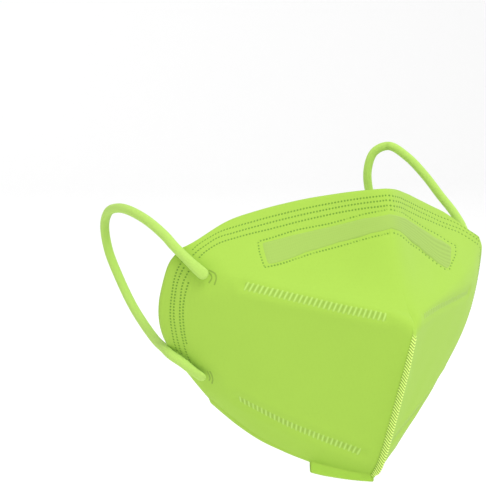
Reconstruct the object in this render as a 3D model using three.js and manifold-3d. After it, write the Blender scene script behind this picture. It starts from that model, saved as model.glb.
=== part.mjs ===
// Foldable disposable respirator with two elastic ear loops.
// Millimetres, +Z up. The front of the mask points to -Y, and the face comes in from +Y.
// The origin is the middle of the face opening.
import * as THREE from 'three';
import { mergeVertices } from 'three/addons/utils/BufferGeometryUtils.js';
import Module from 'manifold-3d';

// ---------------------------------------------------------------- driving dimensions

// The two panels are mirror images. Each row is one section across a panel, from the centre line
// (the ridge) to the side edge. at: place of the section, 0 at the top edge and 1 at the bottom edge.
// round: how far the bend at this row is spread. midY, midZ: the centre line. sideX, sideY, sideZ:
// the side edge. fore, aft: degrees that the section runs back at its two ends. drop: how the height
// falls from ridge to side (1 is straight).
const SECTIONS = [
  { at: 0, round: 0, midY: -42, midZ: 67, sideX: 83, sideY: -2, sideZ: 43, fore: 44, aft: 0, drop: 1.5 },
  { at: 0.2, round: 0.09, midY: -53, midZ: 29, sideX: 87, sideY: -3, sideZ: 37, fore: 38, aft: 32, drop: 1.15 },
  { at: 0.42, round: 0.03, midY: -65, midZ: 10, sideX: 91, sideY: 0, sideZ: 29, fore: 33, aft: 49, drop: 0.72 },
  { at: 0.63, round: 0.1, midY: -54, midZ: -26, sideX: 92, sideY: 6, sideZ: 2, fore: 38, aft: 53, drop: 0.75 },
  { at: 0.84, round: 0.05, midY: -44, midZ: -57, sideX: 78, sideY: 3, sideZ: -18, fore: 40, aft: 49, drop: 1.1 },
  { at: 1, round: 0, midY: -39, midZ: -65, sideX: 57, sideY: 1, sideZ: -42, fore: 37, aft: 42, drop: 1.75 },
];
const APEX_AT = 0.42; // the section through the foremost point
const SIDE_ROUND = 0.12; // towards the side edge every bend is spread at least this far

const WALL = 2.0; // welded nonwoven layers in the panels
const EDGE_WALL = 1.0; // pressed and welded layers at the rim
const EDGE_BAND = 0.07; // share of a panel over which the wall thins

const TOP_CORNER = 0.07; // rounding of the upper side corner: how much of the panel's width it takes
const TOP_CORNER_SPAN = 0.30; // and of its height
const BOTTOM_CORNER = 0.055; // the same at the lower side corner
const BOTTOM_CORNER_SPAN = 0.16;

const FOLD_SOFT = 6.3; // half width of the soft centre fold above the apex
const SEAM_SOFT = 0.3; // the same at the welded seam below the apex
const FOLD_SOFT_END = 0.30; // where the soft fold starts to tighten
const SEAM_START = 0.44; // where it is a seam

const FIN_DEPTH = 3.0; // welded chin seam, standing out from the panels
const FIN_HALF = 0.7; // half its thickness
const FIN_CREST = 0.15; // how far its middle stands above its two edges
const FIN_GROWTH = 0.12; // share of the height over which it grows to its full depth
const FIN_ROOT = 0.014; // share of a panel where it meets the panel

const TAB_DEPTH = 5.6; // turned-out tab below the left panel: its depth at the outer end
const TAB_DEPTH_CHIN = 4.2; // and at the chin seam, where it starts
const TAB_FLARE = 50; // degrees from straight down
const TAB_TO = 0.44; // its outer end, as a share of the bottom edge
const TAB_END = 0.012; // share over which it falls away at its two ends
const TAB_SPREAD = 3.4; // its free edge reaches this much further out than its root
const LIP = 0.4; // plain lip along the rest of the bottom edge
const LIP_END = 0.08; // share over which the lip fades towards the side edges
const LIP_LEAST = 0.05;

const STRIP_HALF = 0.60; // nose strip: half length, as a share of a panel
const STRIP_TOP = 10.8; // its upper and lower edges, measured down from the mask's top edge
const STRIP_BOTTOM = 18.2;
const STRIP_THICK = 0.9;
const STRIP_PROUD = 0.2; // it stands this far out of the pocket
const PANEL_WIDTH = 95; // length of a section near the strip, along the face
const FIT_GAP = 0.3; // clearance between the strip and its pocket

const LOOP_DIAMETER = 4.4; // round elastic
const LOOP_SIDES = 8;
const LOOP_STEPS = 44;

const steps = (from, to, count) => (
  Array.from({ length: count + 1 }, (_, i) => from + ((to - from) * i) / count)
);

// Places of the mesh lines: the columns of one panel and the rows, as shares like s and v, the rows of
// the hem as shares of its depth, and the number of fields along and across the nose strip.
const PANEL_COLUMNS = [
  FIN_ROOT, 0.03, 0.065, 0.1, 0.15, 0.21, 0.28, 0.35, 0.4,
  TAB_TO - TAB_END, TAB_TO, 0.5, 0.57, 0.64, 0.71, 0.78, 0.84, 0.89, 0.93, 0.97, 1,
];
const PANEL_ROWS = [
  ...steps(0, 0.3, 9), 0.34, 0.37, 0.395, APEX_AT, 0.445, 0.47, 0.5, 0.54, ...steps(0.59, 0.93, 7), 0.965, 1,
];
const HEM_ROWS = [0.5, 1];
const STRIP_COLUMNS = 26;
const STRIP_ROWS = 3;

const SLOPE_STEP = 0.004; // step between the points that a slope is taken from
const TRAVEL_STEP = 0.005; // step for measuring along the face
const MERGE_DISTANCE = 1e-4; // corners nearer than this are one

// Ear loop routes, from the upper weld back round the ear and home to the lower weld. The left one is
// welded to the outer face and passes over the rim, the right one to the inner face.
const LEFT_ROUTE = [
  [-78.5, -14.5, 27.1], [-82.6, -10.5, 31.4], [-86.5, -6.6, 35.5], [-89.2, -2.6, 39],
  [-90.8, 3, 43.4], [-93.5, 14.5, 48.5], [-95.5, 29, 51.5], [-95, 44, 51],
  [-93, 58.5, 47], [-90, 68, 38.5], [-86.5, 70, 26.5], [-83, 64, 13.5],
  [-81.5, 53, 3], [-82, 38, -4], [-83.5, 22.5, -8.5], [-85.8, 8.3, -12],
  [-81.9, -1.8, -14.8], [-77.5, -4.3, -17.7], [-73, -6.9, -21],
];
const RIGHT_ROUTE = [
  [75.2, -7.8, 26.5], [76.8, -3.5, 33.2], [79.1, 2.3, 41.5], [79, 8, 49.5],
  [74, 15.5, 57], [68.5, 22.5, 67], [62, 30, 76], [55, 36.5, 81],
  [49.5, 41.5, 77.5], [47, 43, 67.5], [49, 41.5, 53.5], [54.5, 36.5, 38],
  [62, 30.5, 23], [69.5, 24, 8.5], [74.5, 17, -2.5], [75.7, 10.5, -11],
  [73.2, 5, -16], [69, -0.2, -18.8],
];

// ---------------------------------------------------------------- materials

const nonwoven = () => new THREE.MeshStandardMaterial({ color: 0xaede5c, roughness: 0.85, metalness: 0 });
const stripCover = () => new THREE.MeshStandardMaterial({ color: 0xa9cf6c, roughness: 0.8, metalness: 0 });
const elastic = () => new THREE.MeshStandardMaterial({ color: 0xa6e052, roughness: 0.75, metalness: 0 });

// ---------------------------------------------------------------- panel surface

const clamp01 = (t) => Math.min(1, Math.max(0, t));

// 0 before -width, t after width, and a parabola between.
function softRamp(t, width) {
  if (t <= -width) return 0;
  if (t >= width) return t;
  return (t + width) ** 2 / (4 * width);
}

// A column of the table as a polyline over the sections, with each bend rounded. u is the place across
// the panel, 0 at the centre line: the bends grow softer towards the side edge.
function column(name, v, u = 0) {
  const slopes = SECTIONS.slice(1).map((row, i) => {
    const before = SECTIONS[i];
    return (row[name] - before[name]) / (row.at - before.at);
  });
  let value = SECTIONS[0][name] + slopes[0] * v;
  for (let k = 1; k < slopes.length; k += 1) {
    const spread = SECTIONS[k].round + Math.max(0, SIDE_ROUND - SECTIONS[k].round) * u * u;
    value += (slopes[k] - slopes[k - 1]) * softRamp(v - SECTIONS[k].at, spread);
  }
  return value;
}

// Half width of the rounding along the centre line.
function foldSoftness(v) {
  const tight = clamp01((v - FOLD_SOFT_END) / (SEAM_START - FOLD_SOFT_END));
  return SEAM_SOFT + (FOLD_SOFT - SEAM_SOFT) * (1 - tight);
}

// The drop of a quarter circle: 0 at t = 0 and 1 at t = 1.
const quarterRound = (t) => 1 - Math.sqrt(1 - clamp01(t) ** 2);

// The share of a section that is left after the side corners are rounded off.
function sideShare(v) {
  const top = TOP_CORNER * quarterRound(1 - v / TOP_CORNER_SPAN);
  const bottom = BOTTOM_CORNER * quarterRound(1 - (1 - v) / BOTTOM_CORNER_SPAN);
  return 1 - top - bottom;
}

// Outer face. s runs from -1 at the left side edge over 0 at the centre line to 1 at the right one,
// v from 0 at the top edge to 1 at the bottom edge. Each section is a cubic curve in plan.
function outerPoint(s, v) {
  const u = Math.abs(s) * sideShare(v);
  const midY = column('midY', v, u);
  const sideX = column('sideX', v, u);
  const sideY = column('sideY', v, u);
  const fore = THREE.MathUtils.degToRad(column('fore', v, u));
  const aft = THREE.MathUtils.degToRad(column('aft', v, u));
  const handle = Math.hypot(sideX, sideY - midY) / 3;
  const weights = [(1 - u) ** 3, 3 * u * (1 - u) ** 2, 3 * u * u * (1 - u), u ** 3];
  const xs = [0, handle * Math.cos(fore), sideX - handle * Math.cos(aft), sideX];
  const ys = [midY, midY + handle * Math.sin(fore), sideY - handle * Math.sin(aft), sideY];
  const x = weights.reduce((sum, w, i) => sum + w * xs[i], 0);
  const flatY = weights.reduce((sum, w, i) => sum + w * ys[i], 0);
  const soft = foldSoftness(v);
  const y = flatY + Math.tan(fore) * (Math.hypot(x, soft) - x);
  const midZ = column('midZ', v, u);
  const z = midZ + (column('sideZ', v, u) - midZ) * u ** column('drop', v, u);
  return new THREE.Vector3(Math.sign(s) * x, y, z);
}

// Unit normal of the outer face, pointing away from the face opening.
function outerNormal(s, v) {
  const along = outerPoint(Math.min(1, s + SLOPE_STEP), v).sub(outerPoint(Math.max(-1, s - SLOPE_STEP), v));
  const down = outerPoint(s, Math.min(1, v + SLOPE_STEP)).sub(outerPoint(s, Math.max(0, v - SLOPE_STEP)));
  const normal = along.cross(down).normalize();
  return normal.y > 0 ? normal.negate() : normal;
}

// Wall thickness, thin along the rim and full inside it.
function wallAt(s, v) {
  const inboard = Math.min(1 - Math.abs(s), v, 1 - v) / EDGE_BAND;
  return EDGE_WALL + (WALL - EDGE_WALL) * clamp01(inboard);
}

// The inner face lies straight behind the outer one, far enough for the wall to be full thickness.
function behind(point, normal, wall) {
  return point.clone().add(new THREE.Vector3(0, wall / Math.abs(normal.y), 0));
}

// How far the chin seam stands out at v.
function finDepth(v) {
  return FIN_DEPTH * clamp01((v - APEX_AT) / FIN_GROWTH);
}

// Outward direction at the centre line, square to it.
function ridgeNormal(v) {
  const above = Math.max(0, v - SLOPE_STEP);
  const below = Math.min(1, v + SLOPE_STEP);
  const dy = column('midY', below) - column('midY', above);
  const dz = column('midZ', below) - column('midZ', above);
  return new THREE.Vector3(0, dz, -dy).normalize();
}

// How far the bottom edge reaches past v = 1: a small lip, or the tab. `tab` is 0 off the tab, 1 on it.
function hemAt(s) {
  const tab = Math.min(clamp01(-s / TAB_END), clamp01((TAB_TO + s) / TAB_END));
  const lip = LIP_LEAST + (LIP - LIP_LEAST) * clamp01((1 - Math.abs(s)) / LIP_END);
  const depth = TAB_DEPTH_CHIN + (TAB_DEPTH - TAB_DEPTH_CHIN) * clamp01(-s / TAB_TO);
  return { tab, depth: lip + (depth - lip) * tab, spread: TAB_SPREAD * tab * clamp01(-s / TAB_TO) };
}

// ---------------------------------------------------------------- meshes from grids

// A closed wall from two grids of points with the same rows and columns, its four edges closed.
function closedWall(outer, inner) {
  const rows = outer.length;
  const columns = outer[0].length;
  const positions = [];
  [outer, inner].forEach((grid) => grid.forEach((row) => row.forEach((p) => positions.push(p.x, p.y, p.z))));
  const at = (layer, i, j) => layer * rows * columns + i * columns + j;
  const index = [];
  const quad = (a, b, c, d) => index.push(a, b, c, a, c, d);
  for (let i = 0; i < rows - 1; i += 1) {
    for (let j = 0; j < columns - 1; j += 1) {
      quad(at(0, i, j), at(0, i + 1, j), at(0, i + 1, j + 1), at(0, i, j + 1));
      quad(at(1, i, j), at(1, i, j + 1), at(1, i + 1, j + 1), at(1, i + 1, j));
    }
  }
  for (let j = 0; j < columns - 1; j += 1) {
    quad(at(0, 0, j), at(0, 0, j + 1), at(1, 0, j + 1), at(1, 0, j));
    quad(at(0, rows - 1, j), at(1, rows - 1, j), at(1, rows - 1, j + 1), at(0, rows - 1, j + 1));
  }
  for (let i = 0; i < rows - 1; i += 1) {
    quad(at(0, i, 0), at(1, i, 0), at(1, i + 1, 0), at(0, i + 1, 0));
    quad(at(0, i, columns - 1), at(0, i + 1, columns - 1), at(1, i + 1, columns - 1), at(1, i, columns - 1));
  }
  const geometry = new THREE.BufferGeometry();
  geometry.setAttribute('position', new THREE.Float32BufferAttribute(positions, 3));
  geometry.setIndex(index);
  return geometry;
}

// ---------------------------------------------------------------- mask shell

function shellGeometry() {
  const leftColumns = PANEL_COLUMNS.map((u) => -u).reverse();
  const across = [...leftColumns, 'fin left', 'fin edge', 'fin right', ...PANEL_COLUMNS];
  const finSide = { 'fin left': -1, 'fin edge': 0, 'fin right': 1 };
  const finShare = (v, side) => side * FIN_ROOT * (FIN_HALF / outerPoint(FIN_ROOT, v).x);

  const outer = [];
  const inner = [];
  const addRow = (v, hem) => {
    const outerRow = [];
    const innerRow = [];
    across.forEach((place) => {
      const isFin = place in finSide;
      const s = isFin ? finShare(v, finSide[place]) : place;
      const surface = outerPoint(s, v);
      const normal = outerNormal(s, v);
      if (hem > 0) {
        const { tab, depth, spread } = hemAt(s);
        const flare = THREE.MathUtils.degToRad(TAB_FLARE * tab);
        const reach = new THREE.Vector3(-spread, -depth * Math.sin(flare), -depth * Math.cos(flare));
        surface.addScaledVector(reach, hem);
      }
      innerRow.push(behind(surface, normal, wallAt(s, v)));
      const crest = place === 'fin edge' ? FIN_CREST : 0;
      if (isFin) surface.addScaledVector(ridgeNormal(v), finDepth(v) + crest);
      outerRow.push(surface);
    });
    outer.push(outerRow);
    inner.push(innerRow);
  };
  PANEL_ROWS.forEach((v) => addRow(v, 0));
  HEM_ROWS.forEach((hem) => addRow(1, hem));
  return closedWall(outer, inner);
}

// ---------------------------------------------------------------- nose strip

// The v at which the outer face lies a given distance below the top edge, measured along the face.
function belowTopEdge(s, distance) {
  let v = 0;
  let travelled = 0;
  for (;;) {
    const length = outerPoint(s, v + TRAVEL_STEP).distanceTo(outerPoint(s, v));
    if (travelled + length >= distance) return v + (TRAVEL_STEP * (distance - travelled)) / length;
    travelled += length;
    v += TRAVEL_STEP;
  }
}

// The same steps, with the first and the last one moved outwards.
function stretched(places, extra) {
  const last = places.length - 1;
  return places.map((place, i) => place + (i === 0 ? -extra : 0) + (i === last ? extra : 0));
}

// A curved band that follows the outer face, from `under` below it to `over` above it,
// grown by `margin` along its edges.
function bandGeometry(under, over, margin) {
  const across = stretched(steps(-STRIP_HALF, STRIP_HALF, STRIP_COLUMNS), margin / PANEL_WIDTH);
  const down = stretched(steps(STRIP_TOP, STRIP_BOTTOM, STRIP_ROWS), margin);
  const face = (shift) => down.map((distance) => across.map((s) => {
    const v = belowTopEdge(s, distance);
    return outerPoint(s, v).addScaledVector(outerNormal(s, v), shift);
  }));
  return closedWall(face(over), face(-under));
}

// ---------------------------------------------------------------- ear loops

function loopGeometry(route) {
  const path = new THREE.CatmullRomCurve3(route.map((p) => new THREE.Vector3(...p)), false, 'centripetal');
  const section = new THREE.Shape();
  section.absarc(0, 0, LOOP_DIAMETER / 2, 0, 2 * Math.PI, false);
  return new THREE.ExtrudeGeometry(section, {
    steps: LOOP_STEPS, curveSegments: LOOP_SIDES / 2, bevelEnabled: false, extrudePath: path,
  });
}

// ---------------------------------------------------------------- joins and cuts

const wasm = await Module();
wasm.setup();

function toSolid(geometry) {
  const bare = geometry.clone();
  bare.deleteAttribute('normal');
  bare.deleteAttribute('uv');
  const merged = mergeVertices(bare, MERGE_DISTANCE);
  return new wasm.Manifold(new wasm.Mesh({
    numProp: 3,
    vertProperties: new Float32Array(merged.attributes.position.array),
    triVerts: new Uint32Array(merged.index.array),
  }));
}

function toGeometry(solid) {
  const mesh = solid.getMesh();
  const geometry = new THREE.BufferGeometry();
  geometry.setAttribute('position', new THREE.BufferAttribute(new Float32Array(mesh.vertProperties), 3));
  geometry.setIndex(new THREE.BufferAttribute(new Uint32Array(mesh.triVerts), 1));
  return geometry;
}

// The shell with a shallow pocket in its outer face for the nose strip.
function pocketedShell() {
  const pocket = bandGeometry(STRIP_THICK - STRIP_PROUD + FIT_GAP, WALL, FIT_GAP);
  return toGeometry(toSolid(shellGeometry()).subtract(toSolid(pocket)));
}

// ---------------------------------------------------------------- assembly

function piece(name, geometry, material) {
  const mesh = new THREE.Mesh(geometry, material);
  geometry.computeVertexNormals();
  mesh.name = name;
  return mesh;
}

const group = new THREE.Group();
group.add(piece('mask_shell', pocketedShell(), nonwoven()));
group.add(piece('nose_strip', bandGeometry(STRIP_THICK - STRIP_PROUD, STRIP_PROUD, 0), stripCover()));
group.add(piece('ear_loop_left', loopGeometry(LEFT_ROUTE), elastic()));
group.add(piece('ear_loop_right', loopGeometry(RIGHT_ROUTE), elastic()));

export default group;
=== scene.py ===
"""Foldable respirator mask: fabric panels, weld patterns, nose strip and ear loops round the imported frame.

Millimetres are used in the tables and turned into metres where a mesh is made. The front of the mask
points to -Y, the nose is up and the face comes in from +Y. A place on a panel is given as (s, v): s runs
from -1 at the left side edge over 0 at the centre line to 1 at the right side edge, and v from 0 at the
top edge to 1 at the bottom edge.
"""

import math
from functools import partial

import bpy
import numpy as np
from mathutils import Matrix, Vector


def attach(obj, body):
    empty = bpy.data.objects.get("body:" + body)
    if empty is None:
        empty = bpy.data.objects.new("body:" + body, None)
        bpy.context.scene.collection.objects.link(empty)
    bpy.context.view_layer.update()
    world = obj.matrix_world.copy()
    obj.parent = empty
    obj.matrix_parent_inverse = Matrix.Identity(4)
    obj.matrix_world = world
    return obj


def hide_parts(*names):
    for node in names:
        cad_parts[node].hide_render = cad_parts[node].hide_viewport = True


bl_info = {
    "name": "Foldable respirator mask",
    "version": (1, 0, 0),
    "blender": (4, 5, 0),
    "location": "View3D > Sidebar > Respirator",
    "description": "Makes the fabric, welds, nose strip and ear loops of a foldable respirator mask",
    "category": "Add Mesh",
}

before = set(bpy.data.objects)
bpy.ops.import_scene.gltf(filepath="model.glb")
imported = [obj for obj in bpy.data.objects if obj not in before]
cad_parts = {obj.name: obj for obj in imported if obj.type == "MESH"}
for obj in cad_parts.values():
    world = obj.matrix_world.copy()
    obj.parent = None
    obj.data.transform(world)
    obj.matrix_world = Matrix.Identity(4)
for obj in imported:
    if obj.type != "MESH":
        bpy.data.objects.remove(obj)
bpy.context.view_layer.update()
MM = 0.001

# ---- tables

# One section across a panel per row, from the centre line to the side edge.
SECTION_NAMES = ("at", "round", "ridge_y", "ridge_z", "side_x", "side_y", "side_z", "fore", "aft", "drop")
SECTIONS = np.array(
    [
        (0.00, 0.00, -42, 67, 83, -2, 43, 44, 0, 1.50),
        (0.20, 0.09, -53, 29, 87, -3, 37, 38, 32, 1.15),
        (0.42, 0.03, -65, 10, 91, 0, 29, 33, 49, 0.72),
        (0.63, 0.10, -54, -26, 92, 6, 2, 38, 53, 0.75),
        (0.84, 0.05, -44, -57, 78, 3, -18, 40, 49, 1.10),
        (1.00, 0.00, -39, -65, 57, 1, -42, 37, 42, 1.75),
    ]
)
APEX_AT = 0.42

# Rounded side corners: the share of a section that is taken off, over this share of the height.
TOP_CORNER, TOP_CORNER_SPAN = 0.07, 0.30
BOTTOM_CORNER, BOTTOM_CORNER_SPAN = 0.055, 0.16
SIDE_ROUND = 0.12  # least rounding of the section table's bends at the side edge
# Beyond this share of a section the top and bottom edges are eased inwards, each over its own span.
EASE_FROM = 0.70
TOP_EASE, TOP_EASE_SPAN = 0.15, 0.35
BOTTOM_EASE, BOTTOM_EASE_SPAN = 0.06, 0.30
# How round the centre line is, in millimetres: the soft fold above, the seam below, and their v.
FOLD_SOFT, SEAM_SOFT = 6.3, 0.3
FOLD_SOFT_END, SEAM_START = 0.37, 0.46
EDGE_BAND = 0.07  # the wall thins to the rim over this share
EDGE_ROUND = 0.42  # how far a rounded edge bulges, as a share of the wall there
STEP = 0.004  # share by which differences are taken
# Chin seam: half width in millimetres, the s where it is welded on, the share of that s where it rises,
# and the span of v over which it grows.
FIN_HALF, FIN_ROOT, FIN_INSET, FIN_GROWTH = 0.7, 0.014, 0.92, 0.12
FIN_CREST = 0.05  # extra height in its middle, as a share of its depth
# It starts with a share of its depth, reaches all of it over a span, and loses a share at the chin.
FIN_START, FIN_DEEPENS = 0.6, 0.4
FIN_CUT, FIN_CUT_FROM = 0.55, 0.93
# Tab, in millimetres: depth at the chin and spread of the free edge. In s: where it starts, how far its
# corner is rounded, where it ends and over what span. In degrees: its flare.
TAB_CHIN, TAB_SPREAD, TAB_FLARE = 3.7, 3.4, 50
TAB_FROM, TAB_ROUND, TAB_TO, TAB_END = 0.006, 0.026, 0.44, 0.012
# Plain lip of the bottom edge: depth in millimetres, the span of s over which it runs out, least depth.
LIP, LIP_END, LIP_LEAST = 0.4, 0.08, 0.05
# Relief, in millimetres: depth and width of a stripe's valley, height, place and width of its shoulder,
# and the same of a loop weld's pull; depth and width of the line round the pocket.
VALLEY, SHOULDER = (0.45, 2.3), (0.22, 4.6, 2.2)
PULL, PULL_SHOULDER = (0.45, 6.0), (0.25, 9.0, 4.0)
PRESSED_LINE = (0.16, 0.9)
# Slow unevenness: the height of all its sines, then share, rate in s, rate in v and phase of each.
UNEVEN = 0.11
WAVES = ((1.0, 9.1, 5.0, 0.6), (0.8, 14.3, -8.2, 1.9), (0.6, 6.3, 21.0, 0.4), (0.45, 31.0, 17.0, 2.2))
CALM_HALF, CALM_SPAN = 0.03, 0.15  # the centre line is even over this s, and the sines set in over this
SUNK = 0.3  # how far the underside of a weld's cover lies in the fabric, in millimetres
# Ear loop ends, in millimetres: length that is pressed flat and length of the rounded tip; then how much
# wider and thinner the flat end is.
FLAT_END, TIP = 15.0, 3.0
END_WIDER, END_THINNER = 0.25, 0.42

# Ear loop routes, from the upper weld round the ear and back to the lower weld.
LOOP_ROUTES = {
    "left": (
        (-78.5, -14.5, 27.1), (-82.6, -10.5, 31.4), (-86.5, -6.6, 36), (-89.2, -2.6, 39.7),
        (-90.8, 3, 43.4), (-93.5, 14.5, 48.5), (-95.5, 29, 51.5), (-95, 44, 51),
        (-93, 58.5, 47), (-90, 68, 38.5), (-86.5, 70, 26.5), (-83, 64, 13.5),
        (-81.5, 53, 3), (-82, 38, -4), (-83.5, 22.5, -8.3), (-86.2, 8.6, -9.0),
        (-86.2, 1.8, -10.6), (-82.2, -2.1, -13.7), (-77.5, -4.3, -17.7), (-73, -6.9, -21),
    ),
    "right": (
        (75.2, -7.8, 26.5), (76.8, -3.5, 33.2), (79.1, 2.3, 41.5), (77.4, 8.8, 49.5),
        (74, 15.5, 57), (68.5, 22.5, 67), (62, 30, 76), (55, 36.5, 81),
        (49.5, 41.5, 77.5), (47, 43, 67.5), (49, 41.5, 53.5), (54.5, 36.5, 38),
        (62, 30.5, 23), (69.5, 24, 8.5), (74.5, 17, -2.5), (75.7, 10.5, -11),
        (73.2, 5, -16), (69, -0.2, -18.8),
    ),
}

# Weld bars: columns are s and v along the middle of each stripe on one panel.
LOW_STRIPE = ((0.103, 0.848), (0.30, 0.852), (0.52, 0.852), (0.738, 0.842))
STRIPES = {
    "left": (((0.118, 0.420), (0.30, 0.425), (0.49, 0.415), (0.685, 0.400)), LOW_STRIPE),
    "right": (((0.088, 0.417), (0.25, 0.438), (0.45, 0.463), (0.66, 0.488)), LOW_STRIPE),
}

# Nose strip pocket: columns are s and v along its upper edge, its end and its lower edge.
POCKETS = {
    "left": (
        ((0.0, 0.045), (0.15, 0.053), (0.32, 0.070), (0.49, 0.083), (0.657, 0.112)),
        ((0.657, 0.112), (0.650, 0.150), (0.632, 0.200), (0.617, 0.240)),
        ((0.0, 0.098), (0.122, 0.108), (0.28, 0.132), (0.435, 0.165), (0.617, 0.240)),
    ),
    "right": (
        ((0.0, 0.045), (0.19, 0.053), (0.34, 0.070), (0.48, 0.094), (0.59, 0.120), (0.70, 0.180)),
        ((0.70, 0.180), (0.645, 0.225), (0.560, 0.262), (0.485, 0.296)),
        ((0.0, 0.098), (0.078, 0.105), (0.19, 0.128), (0.30, 0.155), (0.395, 0.207), (0.485, 0.296)),
    ),
}
# Nose strip cover: s at its upper and lower corner, then s and v along its upper and lower edge.
STRIPS = {
    "left": (
        (0.645, 0.610),
        ((0.0, 0.055), (0.15, 0.062), (0.32, 0.078), (0.49, 0.092), (0.645, 0.118)),
        ((0.0, 0.090), (0.122, 0.100), (0.28, 0.122), (0.435, 0.155), (0.61, 0.228)),
    ),
    "right": (
        (0.680, 0.480),
        ((0.0, 0.055), (0.19, 0.062), (0.34, 0.079), (0.48, 0.103), (0.59, 0.130), (0.68, 0.178)),
        (
            (0.0, 0.090), (0.078, 0.097), (0.19, 0.119), (0.30, 0.146),
            (0.395, 0.197), (0.48, 0.283), (0.68, 0.45),
        ),
    ),
}
# Edge welds: three rows that follow the top edge and turn down at the side corner, as s and v.
EDGE_ROWS = {
    "left": (
        (
            (0, 0.013), (0.2, 0.016), (0.4, 0.021), (0.6, 0.028),
            (0.78, 0.036), (0.88, 0.0405), (0.932, 0.0655), (0.953, 0.1485),
        ),
        (
            (0, 0.024), (0.2, 0.028), (0.4, 0.036), (0.6, 0.047),
            (0.78, 0.063), (0.87, 0.077), (0.915, 0.132), (0.935, 0.211),
        ),
        (
            (0, 0.036), (0.2, 0.041), (0.4, 0.052), (0.6, 0.069),
            (0.76, 0.088), (0.85, 0.114), (0.89, 0.172), (0.903, 0.235),
        ),
    ),
    "right": (
        (
            (0, 0.013), (0.2, 0.016), (0.4, 0.022), (0.6, 0.028),
            (0.78, 0.036), (0.89, 0.0327), (0.960, 0.037), (0.995, 0.124),
        ),
        (
            (0, 0.024), (0.2, 0.028), (0.4, 0.036), (0.6, 0.048),
            (0.78, 0.067), (0.88, 0.0785), (0.945, 0.1215), (0.985, 0.2165),
        ),
        (
            (0, 0.036), (0.2, 0.041), (0.4, 0.053), (0.6, 0.068),
            (0.76, 0.090), (0.83, 0.107), (0.89, 0.1555), (0.945, 0.236),
        ),
    ),
}
# Side welds: four lines of dots near the side edge, as s and v.
SIDE_LINES = (
    ((0.960, 0.300), (0.965, 0.420), (0.957, 0.560), (0.957, 0.660), (0.972, 0.745)),
    ((0.941, 0.345), (0.949, 0.450), (0.943, 0.550), (0.938, 0.660), (0.951, 0.745)),
    ((0.917, 0.375), (0.926, 0.450), (0.917, 0.550), (0.912, 0.660), (0.927, 0.775)),
    ((0.904, 0.430), (0.906, 0.510), (0.899, 0.600), (0.898, 0.680)),
)

# Where the loop ends are welded on, as s and v. The left pair is on the outer face, the right pair inside.
LOOP_ANCHORS = {"left": ((0.842, 0.388), (0.893, 0.835)), "right": ((0.89, 0.30), (0.893, 0.80))}
# Arcs pressed beside the left pair, as s and v.
WELD_ARCS = (
    ((0.840, 0.335), (0.812, 0.355), (0.800, 0.385), (0.800, 0.425)),
    ((0.842, 0.352), (0.826, 0.368), (0.818, 0.392), (0.824, 0.420)),
    ((0.833, 0.770), (0.836, 0.790), (0.847, 0.812), (0.872, 0.838)),
    ((0.850, 0.776), (0.852, 0.792), (0.860, 0.810), (0.880, 0.830)),
)


# ---- panel surface


def clamp01(t):
    """The value held between 0 and 1."""
    return np.clip(t, 0.0, 1.0)


def smooth(t):
    """A soft step: 3 t squared minus 2 t cubed, held between 0 and 1."""
    t = clamp01(t)
    return t * t * (3 - 2 * t)


def soft_ramp(t, width):
    """0 before -width, t after width, and the parabola (t + width) squared over 4 width between."""
    return np.where(t <= -width, 0.0, np.where(t >= width, t, (t + width) ** 2 / (4 * width)))


def column(name, v, u=0.0):
    """A column of the section table as a polyline over v with rounded bends: the first value, plus the
    first slope times v, plus each change of slope times a soft ramp that starts at its row. The ramps
    grow wider with the square of u, the place across the panel."""
    at, spread = SECTIONS[:, 0], SECTIONS[:, 1]
    values = SECTIONS[:, SECTION_NAMES.index(name)]
    slopes = np.diff(values) / np.diff(at)
    total = values[0] + slopes[0] * v
    for k in range(1, len(slopes)):
        width = spread[k] + max(0.0, SIDE_ROUND - spread[k]) * u * u
        total = total + (slopes[k] - slopes[k - 1]) * soft_ramp(v - at[k], width)
    return total


def side_share(v):
    """The share of a section left after the side corners are rounded: 1 less a quarter circle's drop at
    each end."""
    top = 1 - np.sqrt(1 - clamp01(1 - v / TOP_CORNER_SPAN) ** 2)
    bottom = 1 - np.sqrt(1 - clamp01(1 - (1 - v) / BOTTOM_CORNER_SPAN) ** 2)
    return 1 - TOP_CORNER * top - BOTTOM_CORNER * bottom


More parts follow.
